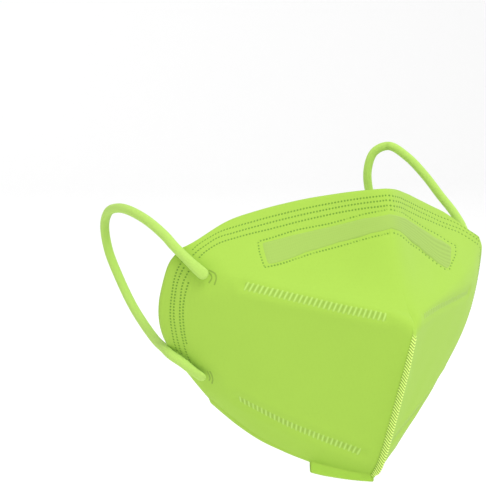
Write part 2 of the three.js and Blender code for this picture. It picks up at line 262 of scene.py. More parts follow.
def panel_face(s, v):
    """Outer face in millimetres. In plan each section is a cubic curve from the centre line to the side
    edge, leaving at the fore angle and arriving at the aft angle; near the centre line it is pulled back
    by tan(fore) times (hypot(x, soft) - x), which rounds the fold. The height falls from the ridge to the
    side as the distance across raised to the drop. Towards the side edge the top and bottom edges are
    eased inwards, which rounds the corners."""
    s, v = np.broadcast_arrays(np.asarray(s, float), np.asarray(v, float))
    ease = clamp01((np.abs(s) - EASE_FROM) / (1 - EASE_FROM))
    from_top = TOP_EASE * ease**4 * clamp01(1 - v / TOP_EASE_SPAN) ** 2
    from_bottom = BOTTOM_EASE * ease**3 * clamp01(1 - (1 - v) / BOTTOM_EASE_SPAN) ** 2
    v = v + from_top - from_bottom
    u = np.abs(s) * side_share(v)
    ridge_y, ridge_z, side_x, side_y, side_z, fore, aft, drop = (
        column(name, v, u) for name in SECTION_NAMES[2:]
    )
    fore, aft = np.radians(fore), np.radians(aft)
    handle = np.hypot(side_x, side_y - ridge_y) / 3
    w0, w1, w2, w3 = (1 - u) ** 3, 3 * u * (1 - u) ** 2, 3 * u * u * (1 - u), u**3
    x = w1 * handle * np.cos(fore) + w2 * (side_x - handle * np.cos(aft)) + w3 * side_x
    y = (
        w0 * ridge_y
        + w1 * (ridge_y + handle * np.sin(fore))
        + w2 * (side_y - handle * np.sin(aft))
        + w3 * side_y
    )
    tight = clamp01((v - FOLD_SOFT_END) / (SEAM_START - FOLD_SOFT_END))
    soft = SEAM_SOFT + (FOLD_SOFT - SEAM_SOFT) * (1 - tight)
    y = y + np.tan(fore) * (np.hypot(x, soft) - x)
    z = ridge_z + (side_z - ridge_z) * u**drop
    return np.stack([np.sign(s) * x, y, z], axis=-1)


def unit(vectors):
    """Vectors divided by their lengths."""
    return vectors / np.maximum(np.linalg.norm(vectors, axis=-1, keepdims=True), 1e-12)


def panel_frame(s, v):
    """Unit directions along the section and down the panel, and the outward normal, which is their cross
    product. Differences are taken over a small step to either side, on the same panel."""
    s, v = np.broadcast_arrays(np.asarray(s, float), np.asarray(v, float))
    side = np.where(s < 0, -1.0, 1.0)
    u = np.abs(s)
    outer, inner = np.clip(u + STEP, 0, 1), np.clip(u - STEP, 1e-6, 1)
    along = unit((panel_face(side * outer, v) - panel_face(side * inner, v)) * side[..., None])
    down = unit(panel_face(s, np.clip(v + STEP, 0, 1)) - panel_face(s, np.clip(v - STEP, 0, 1)))
    normal = unit(np.cross(along, down))
    normal = np.where(normal[..., 1:2] > 0, -normal, normal)
    return along, down, normal


def spline(points, count):
    """A centripetal Catmull-Rom curve through the points, as count evenly spaced parameters: between two
    points it is the Barry and Goldman blend of lines, with knots at the square root of the chord. The end
    points are mirrored outwards."""
    points = np.asarray(points, float)
    ends = np.vstack([2 * points[0] - points[1], points, 2 * points[-1] - points[-2]])
    place = np.linspace(0, len(points) - 1, count)
    i = np.minimum(place.astype(int), len(points) - 2)
    p0, p1, p2, p3 = ends[i], ends[i + 1], ends[i + 2], ends[i + 3]

    def chord(a, b):
        return np.maximum(np.linalg.norm(b - a, axis=-1, keepdims=True), 1e-9) ** 0.5

    t1 = chord(p0, p1)
    t2 = t1 + chord(p1, p2)
    t3 = t2 + chord(p2, p3)
    t = t1 + (place - i)[:, None] * (t2 - t1)
    a1 = p0 + (p1 - p0) * t / t1
    a2 = p1 + (p2 - p1) * (t - t1) / (t2 - t1)
    a3 = p2 + (p3 - p2) * (t - t2) / (t3 - t2)
    b1 = a1 + (a2 - a1) * t / t2
    b2 = a2 + (a3 - a2) * (t - t1) / (t3 - t1)
    return b1 + (b2 - b1) * (t - t1) / (t2 - t1)


def lengths(points):
    """How far each point of a polyline is from its first point, along it."""
    return np.concatenate([[0], np.cumsum(np.linalg.norm(np.diff(points, axis=0), axis=1))])


def evenly(path, pitch, start=0.5):
    """Places (s, v) a fixed pitch apart, in millimetres on the outer face, along a dense (s, v) path."""
    travelled = lengths(panel_face(*path.T))
    count = max(int(travelled[-1] / pitch - start), 1)
    at = (np.arange(count + 1) + start) * pitch
    at = at[at <= travelled[-1]]
    return np.stack([np.interp(at, travelled, share) for share in path.T], axis=1)


def path_distance(s, v, table, count=60):
    """Distance in millimetres from each place (s, v) to a path given by a table of (s, v), on one panel.
    It is the least distance to the path's own dense points, and works on the space points of both."""
    p = panel_face(np.abs(s), v)
    nearest = np.full(p.shape[:-1], np.inf)
    for point in panel_face(*spline(table, count).T):
        nearest = np.minimum(nearest, ((p - point) ** 2).sum(axis=-1))
    return np.sqrt(nearest)


def seam_face(w, v, depth):
    """The chin seam's own face in millimetres: w runs from -1 to 1 over its narrow width. The fabric is
    raised along the ridge's outward direction by depth times (1 - w^6) plus a small rounded crest. The
    depth grows downwards and is cut back at the chin, while the width changes from the panel's to the
    seam's."""
    w, v = np.broadcast_arrays(np.asarray(w, float), np.asarray(v, float))
    base = panel_face(w * FIN_ROOT * FIN_INSET, v)
    share = clamp01((v - APEX_AT) / FIN_GROWTH)
    depth = depth * (FIN_START + (1 - FIN_START) * smooth((v - APEX_AT) / FIN_DEEPENS))
    depth = depth * (1 - FIN_CUT * smooth((v - FIN_CUT_FROM) / (1 - FIN_CUT_FROM)))
    above, below = np.clip(v - STEP, 0, 1), np.clip(v + STEP, 0, 1)
    dy, dz = (column(name, below) - column(name, above) for name in ("ridge_y", "ridge_z"))
    outward = unit(np.stack([np.zeros_like(dy), dz, -dy], axis=-1))
    lift = depth * share * (1 - np.abs(w) ** 6 + FIN_CREST * (1 - w**2))
    narrow = np.sign(w) * np.minimum(np.abs(w) ** 0.7, 1) * FIN_HALF * (1 + 0.5 * np.abs(w) ** 8)
    face = base + lift[..., None] * outward
    face[..., 0] = (1 - smooth(share)) * base[..., 0] + smooth(share) * narrow
    return face


def dip(d, hollow, shoulder=(0.0, 0.0, 1.0)):
    """The height at a distance d from a weld: a bell, exp(-(d / width) squared), taken off for the hollow
    and one added for the shoulder, whose middle stands at its place."""
    (depth, width), (height, place, spread) = hollow, shoulder
    return height * np.exp(-(((d - place) / spread) ** 2)) - depth * np.exp(-((d / width) ** 2))


def relief(s, v):
    """How far the fabric stands out of the plain face, in millimetres: a valley along each weld stripe,
    a pressed line round the nose strip pocket, a pull at each weld of the left loop, and a slow unevenness
    that is a sum of sines."""
    u = np.abs(s)
    out = np.zeros(np.broadcast(s, v).shape)
    for side, sign in (("left", -1), ("right", 1)):
        here = s * sign >= 0
        for stripe in STRIPES[side]:
            out = out + dip(path_distance(s, v, stripe), VALLEY, SHOULDER) * here
        for table in POCKETS[side]:
            out = out + dip(path_distance(s, v, table), PRESSED_LINE) * here
    for anchor in LOOP_ANCHORS["left"]:
        away = np.linalg.norm(panel_face(u, v) - panel_face(*anchor), axis=-1)
        out = out + dip(away, PULL, PULL_SHOULDER) * (s < 0)
    slow = sum(share * np.sin(across * s + down * v + phase) for share, across, down, phase in WAVES)
    calm = smooth((u - CALM_HALF) / CALM_SPAN)
    return out + UNEVEN * slow * calm


def on_fabric(s, v):
    """The fabric's surface in millimetres, which is the face moved out by the relief, and its normal."""
    normal = panel_frame(s, v)[2]
    return panel_face(s, v) + normal * relief(s, v)[..., None], normal


# ---- mesh helpers


def grid_faces(rows, columns, first=0, flip=False):
    """Four-cornered faces of a grid of points numbered row by row, counted from `first`."""
    i, j = np.meshgrid(np.arange(rows - 1), np.arange(columns - 1), indexing="ij")
    a = first + i * columns + j
    faces = np.stack([a, a + columns, a + columns + 1, a + 1], axis=-1).reshape(-1, 4)
    return faces[:, ::-1] if flip else faces


def ring_faces(rings, sides, flip=False):
    """Four-cornered faces between neighbouring rings, each with the same number of points."""
    i, j = np.meshgrid(np.arange(rings - 1), np.arange(sides), indexing="ij")
    a, b = i * sides + j, i * sides + (j + 1) % sides
    corners = [a, a + sides, b + sides, b] if flip else [a, b, b + sides, a + sides]
    return np.stack(corners, axis=-1).reshape(-1, 4)


def slab(outer, inner, flip=False):
    """A closed plate between two grids of points of the same size: both faces and the four edges."""
    rows, columns = outer.shape[:2]
    size, low, end = rows * columns, (rows - 1) * columns, columns - 1
    j, i = np.arange(columns - 1), np.arange(rows - 1) * columns
    faces = np.vstack(
        [
            grid_faces(rows, columns),
            grid_faces(rows, columns, size, flip=True),
            np.stack([j, j + 1, size + j + 1, size + j], axis=-1),
            np.stack([low + j, size + low + j, size + low + j + 1, low + j + 1], axis=-1),
            np.stack([i, size + i, size + i + columns, i + columns], axis=-1),
            np.stack([i + end, i + end + columns, size + i + end + columns, size + i + end], axis=-1),
        ]
    )
    points = np.vstack([outer.reshape(-1, 3), inner.reshape(-1, 3)])
    return points, faces[:, ::-1] if flip else faces


def joined(parts):
    """Several (points, faces, uv) put into one set of arrays."""
    starts = np.cumsum([0] + [len(points) for points, faces, uv in parts[:-1]])
    points = np.vstack([part[0] for part in parts])
    faces = np.vstack([part[1] + start for part, start in zip(parts, starts)])
    return points, faces, np.vstack([part[2] for part in parts])


def mesh_object(name, points, polygons, material):
    """A smooth-shaded object in the scene, from points in metres."""
    mesh = bpy.data.meshes.new(name)
    mesh.from_pydata(points.tolist(), [], polygons)
    mesh.polygons.foreach_set("use_smooth", np.ones(len(mesh.polygons), bool))
    mesh.materials.append(material)
    made = bpy.data.objects.new(name, mesh)
    bpy.context.scene.collection.objects.link(made)
    return made


def new_piece(name, points, faces, material, uv=None, triangles=()):
    """A finished piece from points in millimetres and index arrays, riding on the body."""
    polygons = faces.tolist() + np.asarray(triangles).tolist()
    piece = mesh_object(name, points * MM, polygons, material)
    mesh = piece.data
    if uv is not None:
        corner = np.empty(len(mesh.loops), int)
        mesh.loops.foreach_get("vertex_index", corner)
        layer = mesh.uv_layers.new(name="UVMap")
        layer.data.foreach_set("uv", uv[corner].astype(np.float32).ravel())
    mesh.update()
    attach(piece, "root")
    return piece


def stamped(centres, along, down, normal, shape, faces):
    """One small shape repeated at many places. shape is points as (along, down, out) in millimetres; each
    copy is the centre plus those amounts of its own three directions."""
    points = (
        centres[:, None, :]
        + shape[None, :, 0:1] * along[:, None, :]
        + shape[None, :, 1:2] * down[:, None, :]
        + shape[None, :, 2:3] * normal[:, None, :]
    )
    count = len(centres)
    index = faces[None, :, :] + (np.arange(count) * len(shape))[:, None, None]
    return points.reshape(-1, 3), index.reshape(-1, faces.shape[1])


# ---- materials


def cloth_group(name, colours, numbers):
    """A new shader node group that turns colour sockets and number sockets, each given with its usual
    value, into a colour and a height. Returns it with its input sockets and its output node."""
    group = bpy.data.node_groups.new(name, "ShaderNodeTree")
    add = group.interface.new_socket
    for title in colours:
        add(name=title, in_out="INPUT", socket_type="NodeSocketColor").default_value = (0.4, 0.7, 0.1, 1)
    for title, value in numbers.items():
        add(name=title, in_out="INPUT", socket_type="NodeSocketFloat").default_value = value
    add(name="Colour", in_out="OUTPUT", socket_type="NodeSocketColor")
    add(name="Height", in_out="OUTPUT", socket_type="NodeSocketFloat")
    return group, group.nodes.new("NodeGroupInput").outputs, group.nodes.new("NodeGroupOutput")


def feed(tree, node, inputs):
    """Sets each input of a node, found by its name or number, to a value, or links a socket to it."""
    for key, value in inputs.items():
        if isinstance(value, bpy.types.NodeSocket):
            tree.links.new(value, node.inputs[key])
        else:
            node.inputs[key].default_value = value


def add_node(tree, kind, inputs, **settings):
    """A new shader node with its settings and inputs; returns its outputs."""
    node = tree.nodes.new("ShaderNode" + kind)
    for name, value in settings.items():
        setattr(node, name, value)
    feed(tree, node, inputs)
    return node.outputs


def uv_numbers(tree):
    """The two numbers of the piece's own UV map, as sockets."""
    uv = add_node(tree, "UVMap", {}, uv_map="UVMap")[0]
    split = add_node(tree, "SeparateXYZ", {0: uv})
    return split[0], split[1]


def math_node(tree, operation, a, b=0.5):
    """A Math node whose inputs are sockets or numbers; returns its output."""
    return add_node(tree, "Math", {0: a, 1: b}, operation=operation)[0]


def mix_colour(tree, factor, a, b):
    """A colour mix of a and b by a factor; returns its output."""
    return add_node(tree, "Mix", {0: factor, 6: a, 7: b}, data_type="RGBA")[2]


def fibre_web_group():
    """Fine laid fibres with a point-bonded emboss: two stretched noises crossing each other, a fine
    mottle, and a grid of small pressed points."""
    group, source, sink = cloth_group(
        "fibre_web",
        ("Colour", "Shade Colour"),
        {"Mottle": 0.25, "Fibre Scale": 900.0, "Emboss Scale": 700.0, "Emboss Depth": 0.35},
    )
    math_of = partial(math_node, group)
    place = add_node(group, "TexCoord", {})["Object"]
    fibres = []
    for turn, stretch in ((0.6, (1.0, 0.18, 0.5)), (-0.9, (0.2, 1.0, 0.6))):
        turned = {"Vector": place, "Rotation": (0.3, turn, turn * 0.7), "Scale": stretch}
        laid = add_node(group, "Mapping", turned)[0]
        noise = {"Vector": laid, "Scale": source["Fibre Scale"], "Detail": 3.0}
        fibres.append(add_node(group, "TexNoise", noise)[0])
    web = math_of("MULTIPLY", math_of("ADD", *fibres), 0.5)
    cloud = add_node(group, "TexNoise", {"Vector": place, "Scale": 70.0, "Detail": 4.0})[0]
    points = {"Vector": place, "Scale": source["Emboss Scale"], "Randomness": 0.25}
    away = add_node(group, "TexVoronoi", points, feature="F1")["Distance"]
    pressed = math_of("SUBTRACT", 1.0, math_of("MULTIPLY", away, 2.2))
    pressed = math_of("MULTIPLY", math_of("MAXIMUM", pressed, 0.0), source["Emboss Depth"])
    patches = math_of("ADD", math_of("MULTIPLY", cloud, 0.6), math_of("MULTIPLY", web, 0.4))
    factor = math_of("MULTIPLY", patches, source["Mottle"])
    factor = math_of("ADD", factor, math_of("MULTIPLY", pressed, 0.35))
    colour = mix_colour(group, factor, source["Colour"], source["Shade Colour"])
    feed(group, sink, {"Colour": colour, "Height": math_of("SUBTRACT", web, pressed)})
    return group


def knit_ribs_group():
    """Fine ribs along and round a cord: two waves of its UV map, whose first number is the length in
    millimetres and second the turn round it. The low parts between the ribs are darkened as painted shade."""
    group, source, sink = cloth_group(
        "knit_ribs", ("Colour", "Shade Colour"), {"Ribs Per Millimetre": 1.6, "Wales Round": 26.0}
    )
    math_of = partial(math_node, group)
    u, v = uv_numbers(group)
    around = math_of("MULTIPLY", v, source["Wales Round"])
    slant = math_of("MULTIPLY", u, source["Ribs Per Millimetre"])
    slant = math_of("ADD", slant, math_of("MULTIPLY", around, 0.5))
    rib, wale = (math_of("SINE", math_of("MULTIPLY", turns, 2 * math.pi)) for turns in (slant, around))
    height = math_of("ADD", math_of("MULTIPLY", rib, 0.25), math_of("MULTIPLY", wale, 0.25))
    height = math_of("ADD", height, 0.5)
    # Painted shade: the low parts between the ribs are mixed towards the darker colour.
    low = math_of("MULTIPLY", math_of("SUBTRACT", 1.0, height), 0.35)
    colour = mix_colour(group, low, source["Colour"], source["Shade Colour"])
    feed(group, sink, {"Colour": colour, "Height": height})
    return group


def mesh_cover_group():
    """A fine square mesh over a band, from its UV map in millimetres: the product of two waves, drawn
    more clearly where the first number is high."""
    group, source, sink = cloth_group(
        "mesh_cover", ("Colour", "Shade Colour"), {"Threads Per Millimetre": 1.1, "Strength": 0.9}
    )
    math_of = partial(math_node, group)
    along, across = uv_numbers(group)
    waves = []
    for place in (along, across):
        turns = math_of("MULTIPLY", place, source["Threads Per Millimetre"])
        wave = math_of("SINE", math_of("MULTIPLY", turns, 2 * math.pi))
        waves.append(math_of("ADD", math_of("MULTIPLY", wave, 0.5), 0.5))
    holes = math_of("MULTIPLY", *waves)
    right = math_of("MAXIMUM", math_of("MULTIPLY", along, 0.05), 0.0)
    right = math_of("ADD", math_of("MINIMUM", right, 0.8), 0.2)
    factor = math_of("MULTIPLY", math_of("MULTIPLY", holes, right), source["Strength"])
    colour = mix_colour(group, factor, source["Colour"], source["Shade Colour"])
    feed(group, sink, {"Colour": colour, "Height": math_of("SUBTRACT", 1.0, holes)})
    return group


def pressed_ribs_group():
    """Painted highlight on the crests and painted shade in the grooves, from a piece's own UV map: the first
    number is the phase in ribs, the second says how far the ribs have faded. The crest is sin(pi phase)
    squared, raised to the sharpness, and the fourth power of the second number mixes back to the fabric."""
    group, source, sink = cloth_group(
        "pressed_ribs", ("Colour", "Crest Highlight Colour", "Shade Colour"), {"Sharpness": 2.0}
    )
    math_of = partial(math_node, group)
    phase, faded = uv_numbers(group)
    wave = math_of("SINE", math_of("MULTIPLY", phase, math.pi))
    crest = math_of("POWER", math_of("MULTIPLY", wave, wave), source["Sharpness"])
    square = math_of("MULTIPLY", faded, faded)
    # Painted light: the crests get the painted highlight colour, the grooves the painted shade colour.
    ribs = mix_colour(group, crest, source["Shade Colour"], source["Crest Highlight Colour"])
    colour = mix_colour(group, math_of("MULTIPLY", square, square), ribs, source["Colour"])
    feed(group, sink, {"Colour": colour, "Height": crest})
    return group


def new_material(name, inputs):
    """A new material with the given inputs of its shader; returns it with its node tree and shader."""
    material = bpy.data.materials.new(name)
    material.use_nodes = True
    shader = material.node_tree.nodes["Principled BSDF"]
    feed(material.node_tree, shader, inputs)
    return material, material.node_tree, shader


def cloth_material(name, group, values, roughness, bump, bump_distance, sheen=0.1):
    """A matte fabric whose colour and height come from a node group with the given input values."""
    surface = {"Roughness": roughness, "Specular IOR Level": 0.3, "Sheen Weight": sheen}
    surface |= {"Sheen Roughness": 0.6, "Sheen Tint": (0.85, 1.0, 0.6, 1.0)}
    material, tree, shader = new_material(name, surface)
    cloth = add_node(tree, "Group", values, node_tree=group)
    height = {"Strength": bump, "Distance": bump_distance, "Height": cloth["Height"]}
    feed(tree, shader, {"Base Color": cloth["Colour"], "Normal": add_node(tree, "Bump", height)[0]})
    return material


def colour4(colour, factor=1.0):
    """A colour with its alpha, each channel multiplied by a factor."""
    return tuple(min(1.0, c * factor) for c in colour) + (1.0,)


def fabric(kind):
    """The material of a kind of piece, made once from the scene's settings. A row of the table gives the
    node group's maker, the colour, the factors of its main and its shade colour, the group's other values,
    and the surface: roughness, bump, distance of the bump and sheen."""
    if kind in bpy.data.materials:
        return bpy.data.materials[kind]
    colours = bpy.context.scene.respirator_colours
    cloth, bar, dot = colours.fabric, colours.weld_bar, colours.weld_dot
    flat = {"Mottle": 0.3, "Emboss Depth": 0.0}
    web, ribs = fibre_web_group, pressed_ribs_group
    table = {
        "nonwoven_panel": (web, cloth, 1.0, 0.8, {"Mottle": 0.22}, (0.85, 0.25, 0.00012)),
        "pressed_line": (web, cloth, 0.68, 0.55, flat, (0.6, 0.1, 0.0001, 0.0)),
        "pressed_dot": (web, dot, 1.0, 0.8, flat, (0.5, 0.1, 0.0001, 0.0)),
        "strip_mesh": (mesh_cover_group, colours.strip, 1.0, 0.75, {}, (0.8, 0.15, 0.0001)),
        "elastic_knit": (knit_ribs_group, colours.elastic, 1.0, 0.82, {}, (0.8, 0.45, 0.00025)),
    }
    # Pressed rows: the groove share darkens the fabric in the grooves as painted shade, and the crest share
    # scales the painted highlight of the crests; the crease row is darker all over, as the painted shade of
    # a crease.
    for title, groove_shade, crest, sharpness in (
        ("pressed_bar", 0.80, 1.0, 2.0),
        ("pressed_crease", 0.90, 0.74, 2.0),
        ("pressed_seam", 0.60, 1.75, 1.0),
    ):
        values = {"Crest Highlight Colour": colour4(bar, crest), "Sharpness": sharpness}
        table[title] = (ribs, cloth, 1.0, groove_shade, values, (0.6, 0.1, 0.0001))
    maker, colour, main_share, shade_share, values, surface = table[kind]
    name = maker.__name__.removesuffix("_group")
    group = bpy.data.node_groups.get(name) or maker()
    shades = {"Colour": colour4(colour, main_share), "Shade Colour": colour4(colour, shade_share)}
    return cloth_material(kind, group, {**shades, **values}, *surface)


# ---- settings


class RespiratorSizes(bpy.types.PropertyGroup):
    """Sizes of the mask, in metres."""

    panel_wall: bpy.props.FloatProperty(
        name="Panel Wall", description="Thickness of the welded layers in a panel",
        default=0.002, min=0.001, max=0.003, unit="LENGTH",
    )
    rim_wall: bpy.props.FloatProperty(
        name="Rim Wall", description="Thickness of the pressed layers at the rim",
        default=0.001, min=0.0005, max=0.002, unit="LENGTH",
    )
    seam_depth: bpy.props.FloatProperty(
        name="Chin Seam Depth", description="How far the welded chin seam stands out",
        default=0.0026, min=0.001, max=0.006, unit="LENGTH",
    )
    tab_depth: bpy.props.FloatProperty(
        name="Tab Depth", description="Depth of the turned-out tab at the chin",
        default=0.0056, min=0.002, max=0.01, unit="LENGTH",
    )
    loop_diameter: bpy.props.FloatProperty(
        name="Ear Loop Diameter", description="Thickness of the round elastic",
        default=0.0044, min=0.002, max=0.006, unit="LENGTH",
    )
    dot_pitch: bpy.props.FloatProperty(
        name="Dot Pitch", description="Distance between two weld dots of a row",
        default=0.00144, min=0.0008, max=0.003, unit="LENGTH",
    )
    dot_size: bpy.props.FloatProperty(
        name="Dot Size", description="Diameter of a weld dot",
        default=0.00076, min=0.0003, max=0.001, unit="LENGTH",
    )
    bar_pitch: bpy.props.FloatProperty(
        name="Bar Pitch", description="Distance between two weld bars of a stripe",
        default=0.00225, min=0.001, max=0.004, unit="LENGTH",
    )
    bar_length: bpy.props.FloatProperty(
        name="Bar Length", description="Length of a weld bar",
        default=0.0046, min=0.001, max=0.006, unit="LENGTH",
    )
    rib_pitch: bpy.props.FloatProperty(
        name="Rib Pitch", description="Distance between two ribs of the chin seam",
        default=0.0014, min=0.0005, max=0.002, unit="LENGTH",
    )


class RespiratorColours(bpy.types.PropertyGroup):
    """Colours of the mask and of the stage."""

    fabric: bpy.props.FloatVectorProperty(
        name="Fabric", description="Nonwoven panels",
        default=(0.335, 0.545, 0.060), min=0, max=1, subtype="COLOR",
    )
    # Painted highlight: the lighter colour painted on the crests of the pressed bars and, scaled, on the
    # crease and seam ribs.
    weld_bar: bpy.props.FloatVectorProperty(
        name="Weld Bar", description="Crest of the pressed bars",
        default=(0.43, 0.66, 0.13), min=0, max=1, subtype="COLOR",
    )
    # Partly the pressed film colour of a weld dot and partly painted shade of its sunken pit, which the dish
    # on the fabric cannot show.
    weld_dot: bpy.props.FloatVectorProperty(
        name="Weld Dot", description="Film at the bottom of a weld dot",
        default=(0.15, 0.31, 0.022), min=0, max=1, subtype="COLOR",
    )
    strip: bpy.props.FloatVectorProperty(
        name="Strip Cover", description="Cover of the nose strip",
        default=(0.31, 0.475, 0.085), min=0, max=1, subtype="COLOR",
    )
    elastic: bpy.props.FloatVectorProperty(
        name="Elastic", description="Knitted ear loops",
        default=(0.43, 0.665, 0.12), min=0, max=1, subtype="COLOR",
    )
    floor: bpy.props.FloatVectorProperty(
        name="Floor", description="Floor and backdrop",
        default=(0.97, 0.97, 0.97), min=0, max=1, subtype="COLOR",
    )


# ---- pieces


class RESPIRATOR_OT_stage(bpy.types.Operator):
    """Camera, soft lights and a pale floor that curves up into the backdrop"""

    bl_idname = "respirator.stage"
    bl_label = "Stage"

    def execute(self, context):
        scene = context.scene
        self.camera(scene)
        self.lights(scene)
        self.floor(context)
        scene.view_settings.view_transform = "Standard"
        return {"FINISHED"}

    def camera(self, scene):
        """A camera given by the direction it looks from, its roll, its distance and its aim point."""
        azimuth, elevation, roll = math.radians(-31), math.radians(8), math.radians(2.5)
        aim, distance = Vector((-52.33, 0, 40.06)) * MM, 0.6
        right = Vector((math.cos(azimuth), math.sin(azimuth), 0))
        level = Vector((right.y, -right.x, 0))
        back = level * math.cos(elevation) + Vector((0, 0, math.sin(elevation)))
        up = back.cross(right)
        across = right * math.cos(roll) + up * math.sin(roll)
        upward = up * math.cos(roll) - right * math.sin(roll)
        data = bpy.data.cameras.new("camera")
        data.sensor_width = 36
        data.lens = 97.525
        data.clip_start, data.clip_end = 0.01, 20
        camera = bpy.data.objects.new("camera", data)
        pose = Matrix((across, upward, back)).transposed().to_4x4()
        pose.translation = aim + back * distance
        camera.matrix_world = pose
        scene.collection.objects.link(camera)
        scene.camera = camera

    def lights(self, scene):
        """Soft area lights: place, aim, size and power of each, and an even pale surround."""
        table = (
            ("key_light", (0.0, -0.7, 1.3), (0, 0, 0), 0.9, 12.5),
            ("fill_light", (-0.5, -1.2, -0.02), (0, 0, -0.03), 0.4, 0.6),
        )
        for name, place, aim, size, power in table:
            data = bpy.data.lights.new(name, "AREA")
            data.shape = "DISK"
            data.size = size
            data.energy = power
            lamp = bpy.data.objects.new(name, data)
            lamp.location = place
            lamp.rotation_euler = (Vector(aim) - Vector(place)).to_track_quat("-Z", "Y").to_euler()
            scene.collection.objects.link(lamp)
        world = bpy.data.worlds.new("surround")
        world.use_nodes = True
        background = world.node_tree.nodes["Background"]
        feed(world.node_tree, background, {"Color": (1, 1, 1, 1), "Strength": 0.92})
        scene.world = world

    def floor(self, context):
        """A flat sheet at a fixed height that turns up through a quarter circle into a wall: a profile in
        y and z, carried along x."""
        height, radius, reach, wall = -0.115, 0.6, 1.6, 2.2
        turn = np.linspace(0, math.pi / 2, 25)
        y = np.concatenate([[-3.5, 0.0], reach + radius * np.sin(turn), [reach + radius]])
        z = np.concatenate([[height, height], height + radius * (1 - np.cos(turn)), [wall]])
        x = np.linspace(-2.6, 2.6, 9)
        points = np.stack([np.tile(x, len(y)), np.repeat(y, len(x)), np.repeat(z, len(x))], axis=-1)
        colour = colour4(context.scene.respirator_colours.floor)
        surface = {"Base Color": colour, "Roughness": 1.0, "Specular IOR Level": 0.0}
        faces = grid_faces(len(y), len(x), flip=True).tolist()
        sheet = mesh_object("floor", points, faces, new_material("pale_floor", surface)[0])


class RESPIRATOR_OT_ear_loops(bpy.types.Operator):
    """Two round elastic ear loops with flattened, rounded ends close to the panels"""

    bl_idname = "respirator.ear_loops"
    bl_label = "Ear Loops"

    def execute(self, context):
        for side, route in LOOP_ROUTES.items():
            self.loop(context, side, np.array(route, float))
        return {"FINISHED"}

    def loop(self, context, side, route):
        """A ring carried along the route: point = path + a cos(turn) across + b sin(turn) out, where a
        and b are the half width and half thickness. Towards each end b falls and a grows, as a pressed
        end does, and both fall almost to 0 as a quarter ellipse at the very end."""
        radius = context.scene.respirator_sizes.loop_diameter / MM / 2
        steps, sides = 420, 24
        path = spline(route, steps)
        travelled = lengths(path)
        total = travelled[-1]
        near = np.minimum(travelled, total - travelled)
        squash = 1 - smooth(near / FLAT_END)
        round_end = np.maximum(np.sqrt(1 - (1 - clamp01(near / TIP)) ** 2), 0.02)
        half_width = radius * (1 + END_WIDER * squash) * round_end
        half_thick = radius * (1 - END_THINNER * squash) * round_end
        ahead = unit(np.gradient(path, axis=0))
        out = self.outward(side, path)
        out = unit(out - (out * ahead).sum(axis=1, keepdims=True) * ahead)
        across = np.cross(ahead, out)
        turn = np.linspace(0, 2 * math.pi, sides, endpoint=False)
        ring = (
            path[:, None, :]
            + (half_width[:, None] * np.cos(turn))[..., None] * across[:, None, :]
            + (half_thick[:, None] * np.sin(turn))[..., None] * out[:, None, :]
        )
        points = np.vstack([ring.reshape(-1, 3), path[0], path[-1]])
        first, last, base = steps * sides, steps * sides + 1, (steps - 1) * sides
        k = np.arange(sides)
        start_cap = np.stack([np.full(sides, first), (k + 1) % sides, k], axis=-1)
        end_cap = np.stack([np.full(sides, last), base + k, base + (k + 1) % sides], axis=-1)
        uv = np.stack([np.repeat(travelled, sides), np.tile(np.abs(turn / math.pi - 1), steps)], axis=-1)
        uv = np.vstack([uv, [[0, 0], [total, 0]]])
        caps = np.vstack([start_cap, end_cap])
        faces, material = ring_faces(steps, sides), fabric("elastic_knit")
        piece = new_piece("ear_loop_elastic_" + side, points, faces, material, uv, caps)
        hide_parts("ear_loop_" + side)

    def outward(self, side, path):
        """The direction away from the panel beneath each end, blended over the loop between them, so that
        the flattened ends face the panel."""
        sign = np.sign(path[0, 0])
        ends = [panel_frame(sign * s, v)[2] for s, v in LOOP_ANCHORS[side]]
        share = smooth(np.linspace(0, 1, len(path)))[:, None]
        return unit((1 - share) * ends[0] + share * ends[1])


